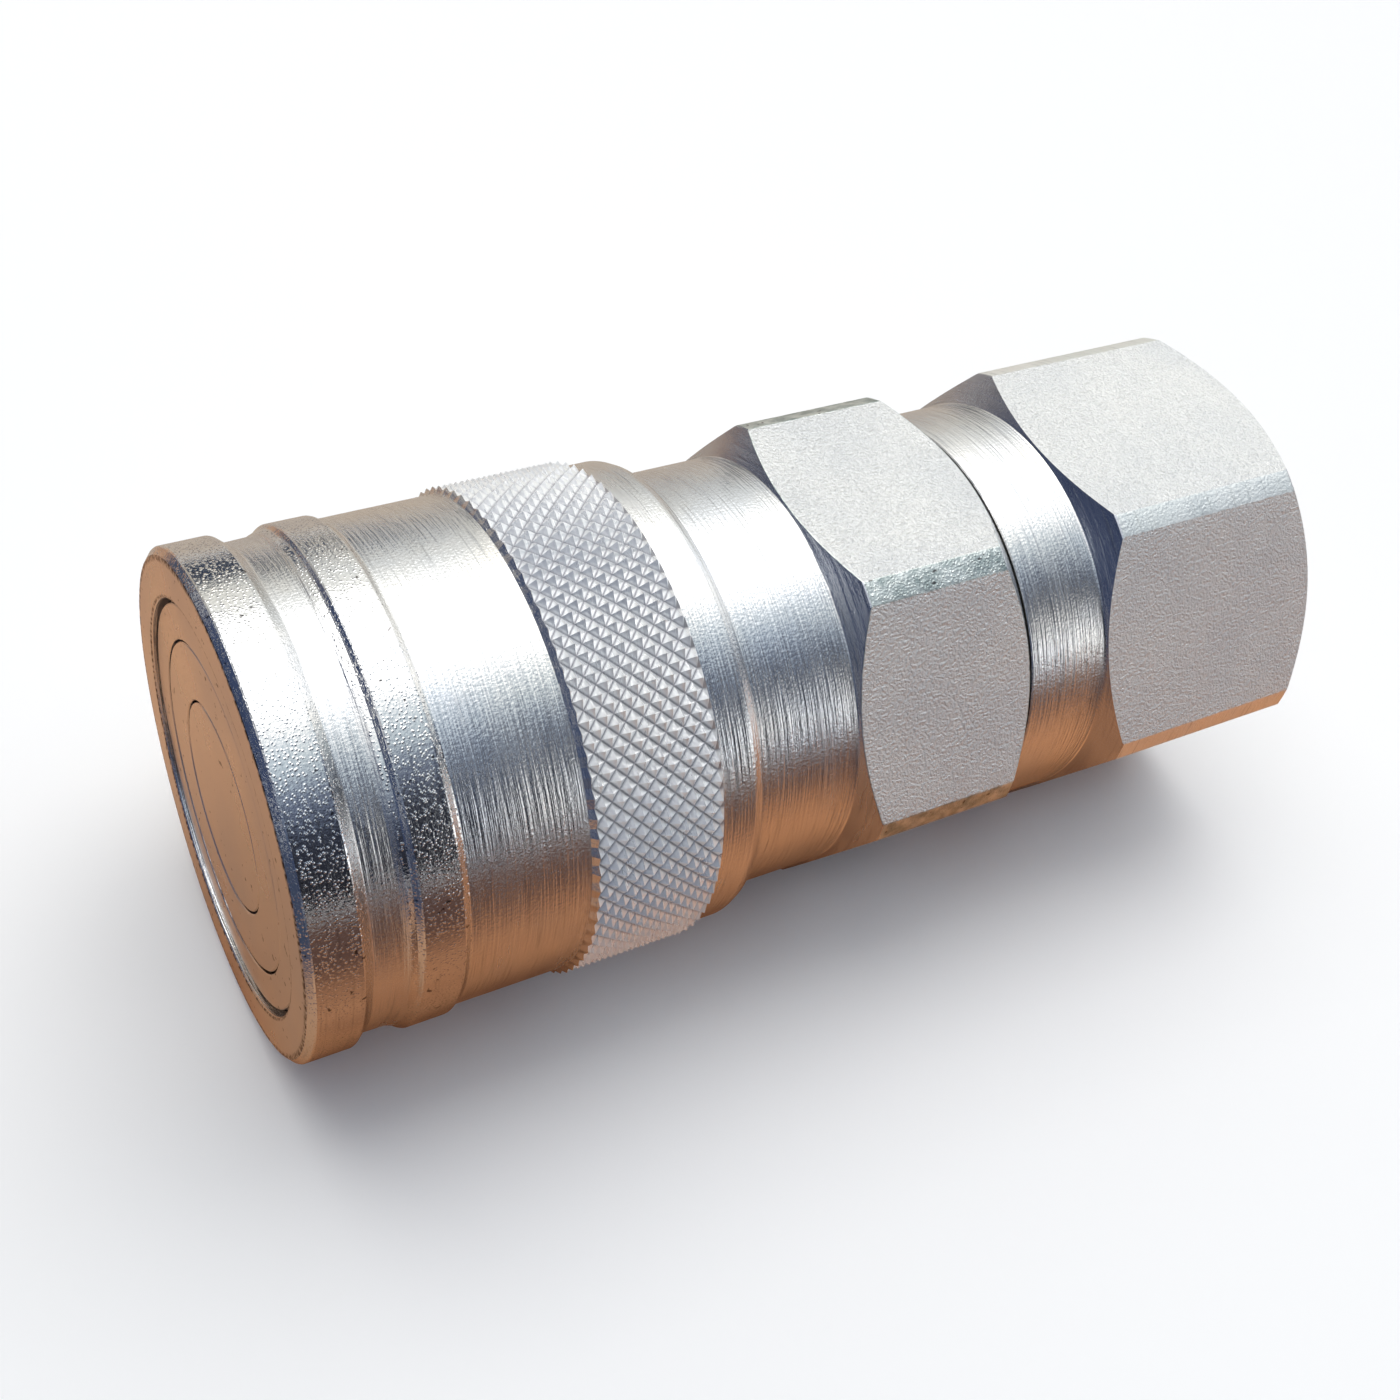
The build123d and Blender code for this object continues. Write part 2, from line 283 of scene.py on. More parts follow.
def mill_flats(piece):
    """Cuts a piece with a long six-sided bar that has a flat on top."""
    bpy.ops.object.select_all(action="DESELECT")
    bpy.ops.mesh.primitive_cylinder_add(
        vertices=6, radius=FLAT_AT / math.cos(TWELFTH) * MM, depth=BAR_LENGTH * MM,
        location=(BAR_MIDDLE * MM, 0, 0), rotation=(0, math.pi / 2, 0))
    bar = bpy.context.object
    bpy.ops.object.transform_apply(location=True, rotation=True, scale=True)
    top = max(v.co.z for v in bar.data.vertices)
    corner_on_top = top > FLAT_AT * MM * 1.05
    if corner_on_top:
        bar.data.transform(Matrix.Rotation(TWELFTH, 4, "X"))
    cut(piece, bar, "INTERSECT")


def is_flat(face):
    around = math.hypot(face.normal.y, face.normal.z)
    reach = face.center.y * face.normal.y + face.center.z * face.normal.z
    return around > 0.999 and abs(reach - FLAT_AT * MM) < ON_PLACE * MM


def soften_flats(piece):
    """Bevels the edges where a flat meets anything else."""
    flat_edges = {}
    for face in piece.data.polygons:
        for key in face.edge_keys:
            flat_edges.setdefault(key, []).append(is_flat(face))
    select_nothing(piece)
    for edge in piece.data.edges:
        edge.select = sorted(flat_edges.get(edge.key, [])) == [False, True]
    bpy.ops.object.mode_set(mode="EDIT")
    bpy.ops.mesh.select_mode(type="EDGE")
    bpy.ops.mesh.bevel(offset=FLAT_BEVEL * MM, segments=2, profile=0.6, clamp_overlap=True)
    bpy.ops.object.mode_set(mode="OBJECT")


print("hexagons", ACROSS_FLATS, "mm across flats")

# %% [markdown]
# ## The body
# The body carries the ball nose in front, hidden in the sleeve, the plain cylinder on which the
# sleeve slides, and the front hexagon.

# %% Body
body_outline = softened([
    (0.35, 12.32), (0.35, 14.93), (1.0, 14.93), (1.0, 14.05), (2.25, 14.05), (2.25, 14.93),
    (19.85, 14.93), (19.85, 15.13), (29.2, 15.13), (29.2, 16.5), (29.5, 16.78),
    (43.4, 16.78), (44.9, 19.12), (57.2, 19.12), (59.1, 16.9), (59.15, 15.35),
    (58.8, 15.02), (46.6, 15.02), (46.6, 13.27), (24.05, 13.27), (24.05, 12.32)], OUTER_EDGE)
body = turn("coupler_shell", body_outline)
mill_flats(body)
report(body)

# %% [markdown]
# ## The ball holes
# Twelve holes let the locking balls through the nose. Twelve drills are set round the axis, joined
# into one tool and cut out in one boolean, which is quicker than twelve cuts. The flats get their
# bevel after that, when no later cut can disturb it.

# %% Ball holes
BALLS = 12
HOLE_AT = 11.5
HOLE_MIDDLE = 13.5
HOLE_RADIUS = 1.8
HOLE_DEPTH = 4.4
bpy.ops.object.select_all(action="DESELECT")
drills = []
for i in range(BALLS):
    angle = math.radians(i * 360 / BALLS)
    place = (HOLE_AT * MM, -math.sin(angle) * HOLE_MIDDLE * MM, math.cos(angle) * HOLE_MIDDLE * MM)
    bpy.ops.mesh.primitive_cylinder_add(
        vertices=40, radius=HOLE_RADIUS * MM, depth=HOLE_DEPTH * MM, location=place,
        rotation=(angle, 0, 0))
    drills.append(bpy.context.object)
for drill in drills:
    drill.select_set(True)
bpy.ops.object.join()
drill = bpy.context.object
bpy.ops.object.transform_apply(location=True, rotation=True, scale=True)
cut(body, drill, "DIFFERENCE")
soften_flats(body)
smooth(body)
report(body)

# %% [markdown]
# ## The rear adapter
# The adapter screws into the body. A plain neck shows behind the seam, then the rear hexagon, with
# the threaded hose port in its end.

# %% Adapter
ADAPTER_EDGE = 0.08
adapter_outline = softened([
    (47.0, 13.27), (47.0, 14.6), (47.4, 14.93), (57.4, 14.93), (57.4, 13.65),
    (59.4, 13.65), (59.4, 14.93), (59.5, 16.72), (60.3, 16.76), (66.65, 16.76),
    (68.3, 19.12), (86.35, 19.12), (88.3, 16.95), (88.4, 16.7), (88.4, 10.95),
    (87.6, 10.5), (72.6, 10.5), (72.4, 9.4), (72.4, 8.42), (65.3, 8.42), (63.5, 10.2),
    (57.0, 10.2), (57.0, 13.27), (52.9, 13.27), (52.9, 13.9), (51.6, 13.9),
    (51.6, 13.27)], ADAPTER_EDGE)
adapter = turn("port_adapter", adapter_outline)
mill_flats(adapter)
soften_flats(adapter)
smooth(adapter)
report(adapter)

# %% [markdown]
# ## The port thread
# The thread is a pointed ridge wound round the bore. A four-sided circle stands on its corner at
# the bore wall, half of it buried, and the Screw modifier winds it into a helix. Cutting the helix
# out of the wall with a boolean would give the same look with a much heavier mesh.

# %% Thread
PITCH = 1.814
THREAD_TURNS = 7
RIDGE_START = (73.9 * MM, 0, 10.4 * MM)
RIDGE_RADIUS = 0.86
RIDGE_STRETCH = 1.22
STEPS = 96
bpy.ops.object.select_all(action="DESELECT")
bpy.ops.mesh.primitive_circle_add(vertices=4, radius=RIDGE_RADIUS * MM, location=RIDGE_START,
                                  rotation=(math.pi / 2, 0, 0))
thread = bpy.context.object
thread.name = "port_thread"
bpy.ops.object.transform_apply(location=True, rotation=True, scale=True)
bpy.ops.object.mode_set(mode="EDIT")
bpy.ops.mesh.select_all(action="SELECT")
bpy.ops.transform.resize(value=(1, 1, RIDGE_STRETCH), center_override=RIDGE_START)
bpy.ops.object.mode_set(mode="OBJECT")
winding = thread.modifiers.new("winding", "SCREW")
winding.axis = "X"
winding.angle = 2 * math.pi
winding.screw_offset = PITCH * MM
winding.iterations = THREAD_TURNS
winding.steps = STEPS
winding.render_steps = STEPS
winding.use_merge_vertices = False
bpy.ops.object.modifier_apply(modifier=winding.name)
bpy.ops.object.mode_set(mode="EDIT")
bpy.ops.mesh.select_all(action="DESELECT")
bpy.ops.mesh.select_non_manifold()
bpy.ops.mesh.fill_holes(sides=6)
bpy.ops.mesh.select_all(action="SELECT")
bpy.ops.mesh.normals_make_consistent(inside=False)
bpy.ops.object.mode_set(mode="OBJECT")
smooth(thread, degrees=30)
report(thread)

# %% [markdown]
# ## The flat face
# Behind the plug sits a flat face made of two pieces: the valve sleeve, which slides back when a
# plug pushes on it, and the head of the fixed stem. They fit so closely that only a hairline shows
# between them, and each edge is just broken.

# %% Valve sleeve and stem
VALVE_EDGE = 0.09
valve_outline = softened([
    (0.4, 7.89), (0.4, 12.14), (1.2, 12.17), (24.1, 12.19), (24.1, 12.88), (26.0, 12.88),
    (26.0, 10.31), (6.9, 10.31), (4.4, 7.89)], VALVE_EDGE)
valve = turn("valve_ring", valve_outline)
smooth(valve)
stem_outline = [
    (0.43, 7.6), (0.47, 7.68), (0.54, 7.72), (1.9, 7.74), (1.9, 6.7), (3.9, 6.7), (3.9, 7.77),
    (4.3, 7.77), (8.2, 3.49), (54.0, 3.49), (54.0, 2.89), (62.5, 2.89), (63.0, 2.4)]
stem = turn("valve_stem_face", stem_outline, poles=True)
smooth(stem)
report(valve)
report(stem)

# %% [markdown]
# ## Put the pieces on the frame
# Each new piece rides on the body that its CAD node belongs to and stands in for that node.

# %% Ride and replace
for piece, body_name, node, slot in (
        (sleeve, "sleeve", "locking_sleeve", "zinc_sleeve"),
        (body, "coupler", "coupler_body", "zinc_steel"),
        (adapter, "coupler", "rear_adapter", "zinc_steel"),
        (valve, "valve", "valve_sleeve", "valve_steel"),
        (stem, "coupler", "valve_stem", "valve_steel")):
    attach(piece, body_name)
    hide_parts(node)
    print(piece.name, "stands for", node, "on", body_name)
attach(thread, "coupler")

# %% [markdown]
# ## Small parts of a material
# A procedural material is a chain of small nodes: noise, a range that stretches it, a colour mix,
# a bump. Each of these gets a helper, so that the recipes below stay short. The textures use object
# coordinates, in metres, so a noise scale of 1000 makes spots about a millimetre wide.

# %% Material helpers
def even(scale):
    return (scale, scale, scale)


def fresh(name):
    material = bpy.data.materials.new(name)
    material.use_nodes = True
    tree = material.node_tree
    return material, tree, tree.nodes["Principled BSDF"]


def texture(tree, scale, detail=3.0, shift=(0, 0, 0)):
    """Noise over the object coordinates, with scale cells to the metre along X, Y and Z."""
    place = tree.nodes.new("ShaderNodeTexCoord")
    mapping = tree.nodes.new("ShaderNodeMapping")
    mapping.inputs["Scale"].default_value = scale
    mapping.inputs["Location"].default_value = shift
    noise = tree.nodes.new("ShaderNodeTexNoise")
    noise.inputs["Scale"].default_value = 1.0
    noise.inputs["Detail"].default_value = detail
    tree.links.new(place.outputs["Object"], mapping.inputs["Vector"])
    tree.links.new(mapping.outputs["Vector"], noise.inputs["Vector"])
    return noise.outputs["Fac"]


def spread(tree, value, low, high, to_low, to_high):
    """Stretches the range from low to high over the one from to_low to to_high."""
    node = tree.nodes.new("ShaderNodeMapRange")
    node.inputs["From Min"].default_value = low
    node.inputs["From Max"].default_value = high
    node.inputs["To Min"].default_value = to_low
    node.inputs["To Max"].default_value = to_high
    tree.links.new(value, node.inputs["Value"])
    return node.outputs["Result"]


def blend_colours(tree, factor, first, second):
    """The first colour where factor is 0 and the second where it is 1."""
    node = tree.nodes.new("ShaderNodeMix")
    node.data_type = "RGBA"
    tree.links.new(factor, node.inputs["Factor"])
    first_colour, second_colour = node.inputs[6], node.inputs[7]
    for socket, colour in ((first_colour, first), (second_colour, second)):
        if isinstance(colour, tuple):
            socket.default_value = colour + (1,)
        else:
            tree.links.new(colour, socket)
    return node.outputs[2]


def relief(tree, height, depth, below=None):
    """One more layer of bump, depth in millimetres."""
    bump = tree.nodes.new("ShaderNodeBump")
    bump.inputs["Distance"].default_value = depth * MM
    tree.links.new(height, bump.inputs["Height"])
    if below is not None:
        tree.links.new(below, bump.inputs["Normal"])
    return bump.outputs["Normal"]


def sum_up(tree, how, first, second):
    node = tree.nodes.new("ShaderNodeMath")
    node.operation = how
    for socket, value in zip(node.inputs, (first, second)):
        if isinstance(value, float):
            socket.default_value = value
        else:
            tree.links.new(value, socket)
    return node.outputs[0]


# %% [markdown]
# ## Marks in the right place
# Three marks need more than noise. Thick plate has small round pimples, so one bump stands in each
# cell of a Voronoi pattern. The hollows of the knurl get painted shade, darker by radius alone.
# Dark lines are painted at known radii where the rings of the flat face meet, and a coarse noise
# breaks them up: painted shade in the hairline gaps between the rings, dirt and wear at the outer
# edge of the sleeve's face.

# %% Pimples, radius, painted gap shade and dirt
PIMPLES = 4200
CRUMBS = 2300
# Radius and half width of each dark line: the first three are painted shade in the gaps between the
# rings, the last is dirt and wear at the outer edge of the sleeve's face.
EDGES_OF_FACE = ((7.82, 0.09), (12.22, 0.1), (15.5, 0.16), (18.35, 0.4))


def pimples(tree, shift):
    """Small round bumps, one for each cell of a Voronoi pattern."""
    place = tree.nodes.new("ShaderNodeTexCoord")
    mapping = tree.nodes.new("ShaderNodeMapping")
    mapping.inputs["Location"].default_value = shift
    cells = tree.nodes.new("ShaderNodeTexVoronoi")
    cells.inputs["Scale"].default_value = PIMPLES
    tree.links.new(place.outputs["Object"], mapping.inputs["Vector"])
    tree.links.new(mapping.outputs["Vector"], cells.inputs["Vector"])
    return spread(tree, cells.outputs["Distance"], 0.06, 0.42, 1, 0)


def radius_of(tree):
    """Each point's distance from the X axis."""
    place = tree.nodes.new("ShaderNodeTexCoord")
    flat = tree.nodes.new("ShaderNodeMapping")
    flat.inputs["Scale"].default_value = (0, 1, 1)
    length = tree.nodes.new("ShaderNodeVectorMath")
    length.operation = "LENGTH"
    tree.links.new(place.outputs["Object"], flat.inputs["Vector"])
    tree.links.new(flat.outputs["Vector"], length.inputs[0])
    return length.outputs["Value"]


def radius_share(tree, inner, outer):
    """0 at the inner radius round the X axis, 1 at the outer one, both in millimetres."""
    return spread(tree, radius_of(tree), inner * MM, outer * MM, 0, 1)


def gap_shade_and_edge_dirt(tree):
    """1 on broken dark lines at the rings, each a radius and a half width in millimetres: painted
    shade in the gaps between the rings, dirt and wear at the outer edge of the sleeve's face.
    """
    radius = radius_of(tree)
    crumbs = spread(tree, texture(tree, even(CRUMBS)), 0.42, 0.56, 0.15, 1)
    dirt = None
    for edge, width in EDGES_OF_FACE:
        away = sum_up(tree, "ABSOLUTE", sum_up(tree, "SUBTRACT", radius, edge * MM), 0.0)
        line = spread(tree, away, width * 0.4 * MM, width * MM, 1, 0)
        dirt = line if dirt is None else sum_up(tree, "MAXIMUM", dirt, line)
    return sum_up(tree, "MULTIPLY", dirt, crumbs)


# %% [markdown]
# ## Zinc plate
# Bright zinc is a metal with a slightly warm white colour. What tells one surface from another is
# its relief: fine rings where a tool turned it, a hammered skin where thick plate has dimpled, and
# a blasted grain on the wrench flats, which also shows as a speckle of darker dots. One recipe
# makes all of them, with a different strength for each mark. X is the turning axis, so streaks are
# fine along X and long round it.

# %% Metal recipe
GRAIN = 4600
STREAKS = (4600, 190, 190)
RINGS = (4800, 170, 170)
SMEARS = (600, 90, 90)
SPECKS = 1500
SPECKLE_COLOUR = (0.30, 0.31, 0.34)
# The hollow colour is painted shade in the knurl's grooves.
GROOVE_SHADE_COLOUR = (0.42, 0.42, 0.45)
SPECK_COLOUR = (0.07, 0.06, 0.06)
# The dirt colour is painted shade in the ring gaps of the face and dirt at its outer edge.
GAP_SHADE_AND_DIRT_COLOUR = (0.10, 0.07, 0.06)


def zinc(name, light, dark, rough, lines=0.0, hammered=0.0, grain=0.0, specks=0.0,
         metal=1.0, patches=110, speckle=0.0, groove_shade=False, edges=False, seed=0):
    """Zinc plate. lines, hammered and grain are depths in millimetres; specks and speckle are
    shares;
    hollow paints shade into the knurl's grooves; edges paints shade into the ring gaps of the face
    and dirt on its outer edge."""
    material, tree, shader = fresh(name)
    shader.inputs["Metallic"].default_value = metal
    shift = (seed * 0.37, seed * 0.11, seed * 0.23)
    clouds = texture(tree, even(patches), detail=4, shift=shift)
    colour = blend_colours(tree, spread(tree, clouds, 0.35, 0.65, 0, 1), light, dark)
    if lines:
        streaks = texture(tree, STREAKS, detail=4, shift=shift)
        deep = tuple(0.6 * channel for channel in dark)
        colour = blend_colours(tree, spread(tree, streaks, 0.55, 0.72, 0, 0.5), colour, deep)
    if speckle:
        dots = texture(tree, even(GRAIN), detail=2, shift=shift)
        colour = blend_colours(tree, spread(tree, dots, 0.5, 0.68, 0, speckle), colour,
                               SPECKLE_COLOUR)
    # Painted shade: the knurl's grooves darken towards the root radius.
    if groove_shade:
        height = radius_share(tree, KNURL_ROOT - 0.01, KNURL_ROOT + 0.13)
        colour = blend_colours(tree, height, GROOVE_SHADE_COLOUR, colour)
    if specks:
        dirt = texture(tree, even(SPECKS), detail=2, shift=shift)
        spots = spread(tree, dirt, 0.71 - specks, 0.74 - specks, 0, 0.8)
        colour = blend_colours(tree, spots, colour, SPECK_COLOUR)
    # Painted shade in the gaps between the rings of the face, with dirt and wear at its outer edge.
    if edges:
        colour = blend_colours(tree, gap_shade_and_edge_dirt(tree), colour, GAP_SHADE_AND_DIRT_COLOUR)
    tree.links.new(colour, shader.inputs["Base Color"])
    smears = texture(tree, SMEARS, detail=5, shift=shift)
    tree.links.new(spread(tree, smears, 0.3, 0.7, rough - 0.03, rough + 0.06),
                   shader.inputs["Roughness"])
    normal = None
    if lines:
        normal = relief(tree, texture(tree, RINGS, shift=shift), lines, normal)
    if hammered:
        normal = relief(tree, pimples(tree, shift), hammered, normal)
    if grain:
        normal = relief(tree, texture(tree, even(GRAIN), shift=shift), grain, normal)
    if normal is not None:
        tree.links.new(normal, shader.inputs["Normal"])
    return material


# %% [markdown]
# ## Finishes of the outside
# The rim and the low band are hammered, the plain cylinders show turning rings, and the wrench
# flats are blasted. The narrow corner strips keep the rough skin of the bar. Flats and knurl are
# matt and scatter light, so they are only partly metallic.

# %% Outside metals
WARM = (0.86, 0.84, 0.80)
COOL = (0.74, 0.76, 0.79)
rim_metal = zinc("zinc_hammered", WARM, COOL, 0.11,
                 lines=0.014, hammered=0.026, grain=0.02, specks=0.01)
turned_metal = zinc("zinc_turned", WARM, COOL, 0.22, lines=0.085, grain=0.03, seed=1)
flat_metal = zinc("zinc_blasted", (0.86, 0.86, 0.84), (0.78, 0.79, 0.79), 0.4,
                  grain=0.24, metal=0.7, speckle=0.16, seed=2)
strip_metal = zinc("zinc_bar_skin", (0.76, 0.80, 0.77), (0.36, 0.42, 0.41), 0.36,
                   hammered=0.03, grain=0.06, specks=0.03, patches=900, seed=3)
worn_metal = zinc("zinc_worn_corner", (0.97, 0.98, 0.95), (0.88, 0.91, 0.88), 0.42,
                  lines=0.02, grain=0.05, seed=10)
cone_metal = zinc("zinc_cone", (0.70, 0.71, 0.73), (0.50, 0.52, 0.57), 0.24,
                  lines=0.05, grain=0.02, seed=4)
# The face gets painted shade in its ring gaps and dirt at its outer edge.
face_metal = zinc("zinc_face", (0.86, 0.80, 0.73), (0.78, 0.75, 0.72), 0.28,
                  hammered=0.006, grain=0.012, specks=0.015, edges=True, seed=5)
# The knurl gets painted shade in its grooves.
knurl_metal = zinc("zinc_knurled", (0.96, 0.96, 0.95), (0.90, 0.91, 0.92), 0.26,
                   grain=0.03, metal=0.58, groove_shade=True, seed=6)
for metal in (rim_metal, turned_metal, flat_metal, strip_metal, worn_metal, cone_metal,
              face_metal, knurl_metal):
    print(metal.name, "has", len(metal.node_tree.nodes), "nodes")

# %% [markdown]
# ## Which face gets which finish
# A turned surface is known by where it is: the X of a face's middle and the way it points say
# whether it is a rim, a cone, a flat or a corner strip.

# %% Finish of a face
RIM_END = 4.6
BAND_FROM, BAND_TO = 7.2, 11.7
GRIP_FROM, GRIP_TO = 21.0, 30.9
BORE_BELOW = 17.3
CORNER_FROM = 16.9
SLEEVE_FACE_TO = 0.1
BODY_FACE_TO = 0.4
VALVE_FACE_TO = 0.6
CONE_SLOPE = 0.3


def sleeve_finish(face):
    x = face.center.x / MM
    if face.normal.x < -0.9 and x < SLEEVE_FACE_TO:
        return "face"
    if radius_at(face.center) / MM < BORE_BELOW:
        return "turned"
    if x < RIM_END or BAND_FROM < x < BAND_TO:
        return "rim"
    return "knurl" if GRIP_FROM < x < GRIP_TO else "turned"


def hexagon_finish(face):
    if is_flat(face):
        return "flat"
    if face.center.x / MM < BODY_FACE_TO:
        return "face"
    if radius_at(face.center) / MM > CORNER_FROM:
        return "cone" if abs(face.normal.x) > CONE_SLOPE else "strip"
    return "turned"


def valve_finish(face):
    return "face" if face.center.x / MM < VALVE_FACE_TO else "turned"


# %% Paint the faces
def paint(piece, metals, choose):
    """Gives every face of a piece the metal whose word choose returns."""
    words = list(metals)
    piece.data.materials.clear()
    for metal in metals.values():
        piece.data.materials.append(metal)
    for face in piece.data.polygons:
        face.material_index = words.index(choose(face))
    print(piece.name, "painted with", ", ".join(words))


paint(sleeve, {"rim": rim_metal, "turned": turned_metal, "knurl": knurl_metal,
               "face": face_metal}, sleeve_finish)
for piece, corner_metal in ((body, strip_metal), (adapter, worn_metal)):
    paint(piece, {"turned": turned_metal, "flat": flat_metal, "strip": corner_metal,
                  "cone": cone_metal, "face": face_metal}, hexagon_finish)
for piece in (valve, stem):
    paint(piece, {"face": face_metal, "turned": turned_metal}, valve_finish)
paint(thread, {"turned": turned_metal}, lambda face: "turned")

# %% [markdown]
# ## Inside pieces
# Springs are dark oiled wire, balls are polished, seals are rubber and their backup rings are pale
# plastic. They show only when the valve is pushed in or through the port.

# %% Inside finishes
def soft_finish(name, clouds, first, second, rough, marks, depth):
    """Rubber or plastic: a cloudy tone, a range of roughness and marks of a depth in mm."""
    material, tree, shader = fresh(name)
    tone = texture(tree, even(clouds))
    tree.links.new(blend_colours(tree, tone, first, second), shader.inputs["Base Color"])
    tree.links.new(spread(tree, tone, 0.3, 0.7, *rough), shader.inputs["Roughness"])
    tree.links.new(relief(tree, texture(tree, marks), depth), shader.inputs["Normal"])
    return material


inner_metal = zinc("zinc_inner", (0.72, 0.70, 0.66), (0.60, 0.60, 0.60), 0.3,
                   lines=0.02, seed=7)
wire_metal = zinc("spring_wire", (0.34, 0.34, 0.36), (0.24, 0.24, 0.26), 0.3,
                  hammered=0.01, seed=8)
ball_metal = zinc("ball_steel", (0.80, 0.80, 0.80), (0.76, 0.76, 0.77), 0.12,
                  grain=0.001, seed=9)
seal_rubber = soft_finish("seal_rubber", 400, (0.02, 0.02, 0.02), (0.05, 0.05, 0.05),
                          (0.45, 0.65), even(3000), 0.01)
backup_plastic = soft_finish("backup_plastic", 250, (0.86, 0.84, 0.78), (0.76, 0.73, 0.66),
                             (0.5, 0.62), (2600, 60, 60), 0.008)

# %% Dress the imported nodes
FINISH = {"seal": seal_rubber, "backup": backup_plastic, "guide": backup_plastic,
          "spring_washer": inner_metal, "seat": inner_metal, "spring": wire_metal,
          "retaining": wire_metal, "washer": wire_metal, "balls": ball_metal}
for name, node in nodes.items():
    finish = next((FINISH[word] for word in FINISH if word in name), inner_metal)
    node.data.materials.clear()
    node.data.materials.append(finish)
    print(name, "gets", finish.name)

# %% [markdown]
# ## Joined spring copies
# Both springs shorten as their parts move back, but a imported node keeps its length. Each spring
# gets a joined copy that stands for its node and rides on the parent body of its joint.

# %% Spring copies
JOIN_WITHIN = 0.001


def shortening_spring(node_name, joint):
    """A joined copy of a spring's node that rides on the parent body of its joint."""
    name = node_name.replace("spring", "coil")
    coil = bpy.data.objects.new(name, nodes[node_name].data.copy())
    bpy.context.scene.collection.objects.link(coil)
    bpy.ops.object.select_all(action="DESELECT")
    coil.select_set(True)
    bpy.context.view_layer.objects.active = coil
    bpy.ops.object.mode_set(mode="EDIT")
    bpy.ops.mesh.select_all(action="SELECT")
    bpy.ops.mesh.remove_doubles(threshold=JOIN_WITHIN * MM)
    bpy.ops.object.mode_set(mode="OBJECT")
    smooth(coil, degrees=30)
    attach(coil, joint["parent"])
    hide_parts(node_name)
    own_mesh(coil)
    report(coil)


for joint in frame["joints"]:
    for soft in joint.get("deforming_nodes", []):
        shortening_spring(soft["node"], joint)

# %% [markdown]
# ## Floor and backdrop
# The coupler lies on a plain pale floor, which touches the lowest point of its sleeve and
# hexagons. A large dome round it all gives the camera the same pale tone above the floor. Only the
# camera sees the dome, because metal would mirror it.

# %% Floor and backdrop
FLOOR = -19.05 * MM
FLOOR_SIZE = 6
DOME_RADIUS = 2.9
FLOOR_COLOUR = (0.985, 0.98, 0.975)
DOME_COLOUR = (0.72, 0.735, 0.75)


def unseen(piece, *rays):
    """Hides a piece of scenery from some kinds of ray."""
    for ray in rays:
        setattr(piece, "visible_" + ray, False)


def scenery(name, material):
    shape = bpy.context.object
    shape.name = name
    shape.data.materials.append(material)
    return shape


def plain(name, colour, roughness=0.7):
    material, tree, shader = fresh(name)
    shader.inputs["Base Color"].default_value = colour + (1,)
    shader.inputs["Roughness"].default_value = roughness
    shader.inputs["Specular IOR Level"].default_value = 0.1
    return material


def glowing(name, colour):
    material, tree, shader = fresh(name)
    shader.inputs["Base Color"].default_value = (0, 0, 0, 1)
    shader.inputs["Roughness"].default_value = 1.0
    shader.inputs["Specular IOR Level"].default_value = 0.0
    shader.inputs["Emission Color"].default_value = colour + (1,)
    shader.inputs["Emission Strength"].default_value = 1.0
    return material


bpy.ops.mesh.primitive_plane_add(size=FLOOR_SIZE, location=(0, 0, FLOOR))
scenery("floor", plain("floor_paint", FLOOR_COLOUR))
bpy.ops.mesh.primitive_uv_sphere_add(segments=48, ring_count=24, radius=DOME_RADIUS,
                                     location=(0, 0, FLOOR))
backdrop = scenery("backdrop", glowing("backdrop_paint", DOME_COLOUR))
unseen(backdrop, "diffuse", "glossy", "transmission", "shadow")
print("floor at", round(FLOOR / MM, 2), "mm")

# %% [markdown]
# ## Card and flag
# Metal shows what is around it more than it shows itself, so a studio sets things up only to be
# mirrored. A warm card lies on the floor and stands in for a wooden table. A dark flag behind the
# rear end gives the far side something dark to mirror. Neither is seen by the camera.

# %% Card and flag
CARD_SIZE = 1.2
CARD_LIFT = 0.2
BROWN, DEEP_BROWN = (0.74, 0.33, 0.14), (0.48, 0.19, 0.075)
NEAR_BROWN = (0.09, 0.035, 0.02)
FAR_SAND = (0.50, 0.41, 0.33)
LEFT_SAND = (0.56, 0.305, 0.165)
BEYOND_NAVY = (0.03, 0.045, 0.09)
FLAG_COLOUR = (0.06, 0.08, 0.13)
FLAG_AT = (0.035, 0.29, 0.085)
FLAG_SCALE = (0.09, 0.12, 1)


def table_top():
    """Brown wood, paler to the left and far off, darker towards the viewer, with blotches."""
    material, tree, shader = fresh("card_paint")
    place = tree.nodes.new("ShaderNodeTexCoord")
    split = tree.nodes.new("ShaderNodeSeparateXYZ")
    tree.links.new(place.outputs["Object"], split.inputs["Vector"])
    blotches = texture(tree, (60, 160, 60), detail=4)
    brown = blend_colours(tree, spread(tree, blotches, 0.3, 0.7, 0, 1), BROWN, DEEP_BROWN)
    slant = tree.nodes.new("ShaderNodeVectorMath")
    slant.operation = "DOT_PRODUCT"
    slant.inputs[1].default_value = (0.25, 1, 0)
    tree.links.new(place.outputs["Object"], slant.inputs[0])
    near = spread(tree, slant.outputs["Value"], -0.02, -0.058, 0, 1)
    brown = blend_colours(tree, near, brown, NEAR_BROWN)
    far = spread(tree, split.outputs["Y"], 0.0, 0.03, 0, 1)
    brown = blend_colours(tree, far, brown, FAR_SAND)
    left = spread(tree, split.outputs["X"], 0.0, -0.003, 0, 1)
    brown = blend_colours(tree, left, brown, LEFT_SAND)
    beyond = spread(tree, split.outputs["X"], -0.016, -0.034, 0, 1)
    brown = blend_colours(tree, beyond, brown, BEYOND_NAVY)
    tree.links.new(brown, shader.inputs["Base Color"])
    shader.inputs["Roughness"].default_value = 0.8
    return material


